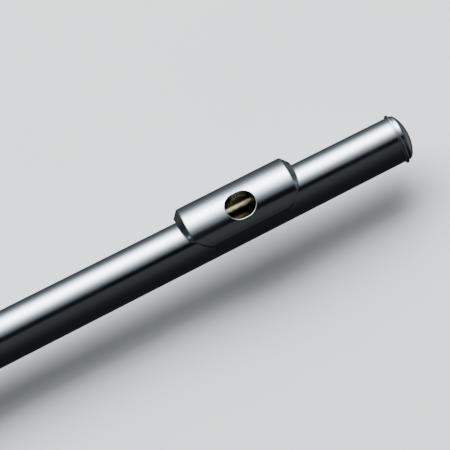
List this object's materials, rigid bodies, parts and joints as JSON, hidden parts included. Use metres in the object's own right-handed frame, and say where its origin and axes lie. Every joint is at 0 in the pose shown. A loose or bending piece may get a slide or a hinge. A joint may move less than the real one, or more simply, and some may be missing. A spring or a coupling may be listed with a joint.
{
  "type": "concert flute",
  "caption": "Transverse concert flute in three joints: head with lip plate and crown, keyed body with offset G, and keyed low-C foot.",
  "frame": {"origin": "on the bore axis at the foot joint's open end", "axes": "+X along the bore from the foot to the crown, +Z out of the embouchure hole and the main tone holes, +Y towards the player, where the hinge rods are"},
  "size_m": [0.6723, 0.0458, 0.041],
  "materials": {
    "tube_silver": "polished silver plate, faint fine scratches along the tube",
    "lip_silver": "polished silver plate, softly worn by the lip",
    "fitting_silver": "polished silver plate, tarnished in the corners",
    "key_silver": "polished silver plate, soft finger wear",
    "riser_gilt": "unplated warm metal inside the embouchure chimney",
    "pivot_steel": "ground steel",
    "blued_steel": "blued needle spring",
    "pad_skin": "thin waxy skin over felt",
    "cork": "fine-grained cork"
  },
  "bodies": {
    "body": {"body_tube": "tube_silver", "barrel": "fitting_silver", "body_ribs": "fitting_silver", "body_posts": "fitting_silver", "body_steels": "pivot_steel", "body_springs": "blued_steel"},
    "head": {"head_tube": "tube_silver", "riser": "riser_gilt", "lip_plate": "lip_silver"},
    "crown": {"crown": "fitting_silver"},
    "stopper": {"stopper_cork": "cork", "stopper_plate": "fitting_silver", "stopper_screw": "fitting_silver", "stopper_nut": "fitting_silver"},
    "foot": {"foot_tube": "tube_silver", "foot_socket": "fitting_silver", "foot_end_ring": "fitting_silver", "foot_ribs": "fitting_silver", "foot_posts": "fitting_silver", "foot_steels": "pivot_steel", "foot_springs": "blued_steel"},
    "c_key": {"c_key": "key_silver", "c_pad": "pad_skin"},
    "b_flat_key": {"b_flat_key": "key_silver", "b_flat_pad": "pad_skin"},
    "a_key": {"a_key": "key_silver", "a_pad": "pad_skin"},
    "g_keys": {"g_keys": "key_silver", "g_pads": "pad_skin"},
    "g_sharp_key": {"g_sharp_key": "key_silver", "g_sharp_pad": "pad_skin"},
    "thumb_b_key": {"thumb_b_key": "key_silver", "thumb_b_pad": "pad_skin"},
    "thumb_b_flat_lever": {"thumb_b_flat_lever": "key_silver"},
    "d_trill_key": {"d_trill_key": "key_silver", "d_trill_pad": "pad_skin"},
    "d_sharp_trill_key": {"d_sharp_trill_key": "key_silver", "d_sharp_trill_pad": "pad_skin"},
    "f_sharp_key": {"f_sharp_key": "key_silver", "f_sharp_pad": "pad_skin"},
    "f_key": {"f_key": "key_silver", "f_pad": "pad_skin"},
    "e_key": {"e_key": "key_silver", "e_pad": "pad_skin"},
    "d_key": {"d_key": "key_silver", "d_pad": "pad_skin"},
    "e_flat_key": {"e_flat_key": "key_silver", "e_flat_pad": "pad_skin"},
    "c_sharp_key": {"c_sharp_key": "key_silver", "c_sharp_pad": "pad_skin"},
    "c_sharp_roller": {"c_sharp_roller": "key_silver"},
    "low_c_key": {"low_c_key": "key_silver", "low_c_pad": "pad_skin"},
    "low_c_roller": {"low_c_roller": "key_silver"}
  },
  "joints": [
    {"name": "head_tuning_slide", "type": "slide", "parent": "body", "child": "head", "axis": [1, 0, 0], "range_m": [0, 0.01]},
    {"name": "crown_turn", "type": "hinge", "parent": "head", "child": "crown", "pos_m": [0.668, 0, 0], "axis": [1, 0, 0], "range_deg": [-360, 360]},
    {"name": "stopper_slide", "type": "slide", "parent": "head", "child": "stopper", "axis": [1, 0, 0], "range_m": [-0.001, 0.001]},
    {"name": "foot_align", "type": "hinge", "parent": "body", "child": "foot", "pos_m": [0.12, 0, 0], "axis": [1, 0, 0], "range_deg": [-15, 15]},
    {"name": "c_key_press", "type": "hinge", "parent": "body", "child": "c_key", "pos_m": [0.357, 0.0146, 0.0096], "axis": [1, 0, 0], "range_deg": [0, 9], "stiffness_Nm_per_rad": 0.05},
    {"name": "b_flat_key_press", "type": "hinge", "parent": "body", "child": "b_flat_key", "pos_m": [0.308, 0.0146, 0.0096], "axis": [1, 0, 0], "range_deg": [0, 9], "stiffness_Nm_per_rad": 0.05},
    {"name": "a_key_press", "type": "hinge", "parent": "body", "child": "a_key", "pos_m": [0.2874, 0.0146, 0.0096], "axis": [1, 0, 0], "range_deg": [0, 9], "stiffness_Nm_per_rad": 0.05},
    {"name": "g_keys_press", "type": "hinge", "parent": "body", "child": "g_keys", "pos_m": [0.254, 0.01184, 0.01285], "axis": [1, 0, 0], "range_deg": [0, 9], "stiffness_Nm_per_rad": 0.05},
    {"name": "g_sharp_key_press", "type": "hinge", "parent": "body", "child": "g_sharp_key", "pos_m": [0.235, -0.01487, 0.00918], "axis": [-1, 0, 0], "range_deg": [0, 9], "stiffness_Nm_per_rad": 0.05},
    {"name": "thumb_b_key_press", "type": "hinge", "parent": "body", "child": "thumb_b_key", "pos_m": [0.316, 0.00253, -0.01729], "axis": [1, 0, 0], "range_deg": [0, 9], "stiffness_Nm_per_rad": 0.05},
    {"name": "thumb_b_flat_lever_press", "type": "hinge", "parent": "body", "child": "thumb_b_flat_lever", "pos_m": [0.345, 0.00253, -0.01729], "axis": [1, 0, 0], "range_deg": [0, 9], "stiffness_Nm_per_rad": 0.05},
    {"name": "d_trill_key_press", "type": "hinge", "parent": "body", "child": "d_trill_key", "pos_m": [0.28, 0.0178, 0.0054], "axis": [-1, 0, 0], "range_deg": [0, 6], "stiffness_Nm_per_rad": 0.05},
    {"name": "d_sharp_trill_key_press", "type": "hinge", "parent": "body", "child": "d_sharp_trill_key", "pos_m": [0.28, 0.0178, 0.0054], "axis": [-1, 0, 0], "range_deg": [0, 6], "stiffness_Nm_per_rad": 0.05},
    {"name": "f_sharp_key_press", "type": "hinge", "parent": "body", "child": "f_sharp_key", "pos_m": [0.2178, 0.0146, 0.0096], "axis": [1, 0, 0], "range_deg": [0, 9], "stiffness_Nm_per_rad": 0.05},
    {"name": "f_key_press", "type": "hinge", "parent": "body", "child": "f_key", "pos_m": [0.1918, 0.0146, 0.0096], "axis": [1, 0, 0], "range_deg": [0, 9], "stiffness_Nm_per_rad": 0.05},
    {"name": "e_key_press", "type": "hinge", "parent": "body", "child": "e_key", "pos_m": [0.1643, 0.0146, 0.0096], "axis": [1, 0, 0], "range_deg": [0, 9], "stiffness_Nm_per_rad": 0.05},
    {"name": "d_key_press", "type": "hinge", "parent": "body", "child": "d_key", "pos_m": [0.1351, 0.0146, 0.0096], "axis": [1, 0, 0], "range_deg": [0, 9], "stiffness_Nm_per_rad": 0.05},
    {"name": "e_flat_key_press", "type": "hinge", "parent": "foot", "child": "e_flat_key", "pos_m": [0.108, 0.00142, 0.01741], "axis": [-1, 0, 0], "range_deg": [0, 9], "stiffness_Nm_per_rad": 0.05},
    {"name": "c_sharp_key_press", "type": "hinge", "parent": "foot", "child": "c_sharp_key", "pos_m": [0.0715, 0.01271, 0.01199], "axis": [1, 0, 0], "range_deg": [0, 9], "stiffness_Nm_per_rad": 0.05},
    {"name": "low_c_key_press", "type": "hinge", "parent": "foot", "child": "low_c_key", "pos_m": [0.0368, 0.01271, 0.01199], "axis": [1, 0, 0], "range_deg": [0, 9], "stiffness_Nm_per_rad": 0.05},
    {"name": "c_sharp_roller_spin", "type": "hinge", "parent": "c_sharp_key", "child": "c_sharp_roller", "pos_m": [0.0921, -0.00002, 0.01927], "axis": [1, 0, 0], "continuous": true},
    {"name": "low_c_roller_spin", "type": "hinge", "parent": "low_c_key", "child": "low_c_roller", "pos_m": [0.0848, -0.00002, 0.01927], "axis": [1, 0, 0], "continuous": true}
  ],
  "couplings": [
    {"joint": "crown_turn", "follows": "stopper_slide", "rad_per_m": 6283.2},
    {"joint": "b_flat_key_press", "follows": "a_key_press", "ratio": 1},
    {"joint": "f_sharp_key_press", "follows": "f_key_press", "ratio": 1},
    {"joint": "c_sharp_key_press", "follows": "low_c_key_press", "ratio": 1}
  ]
}
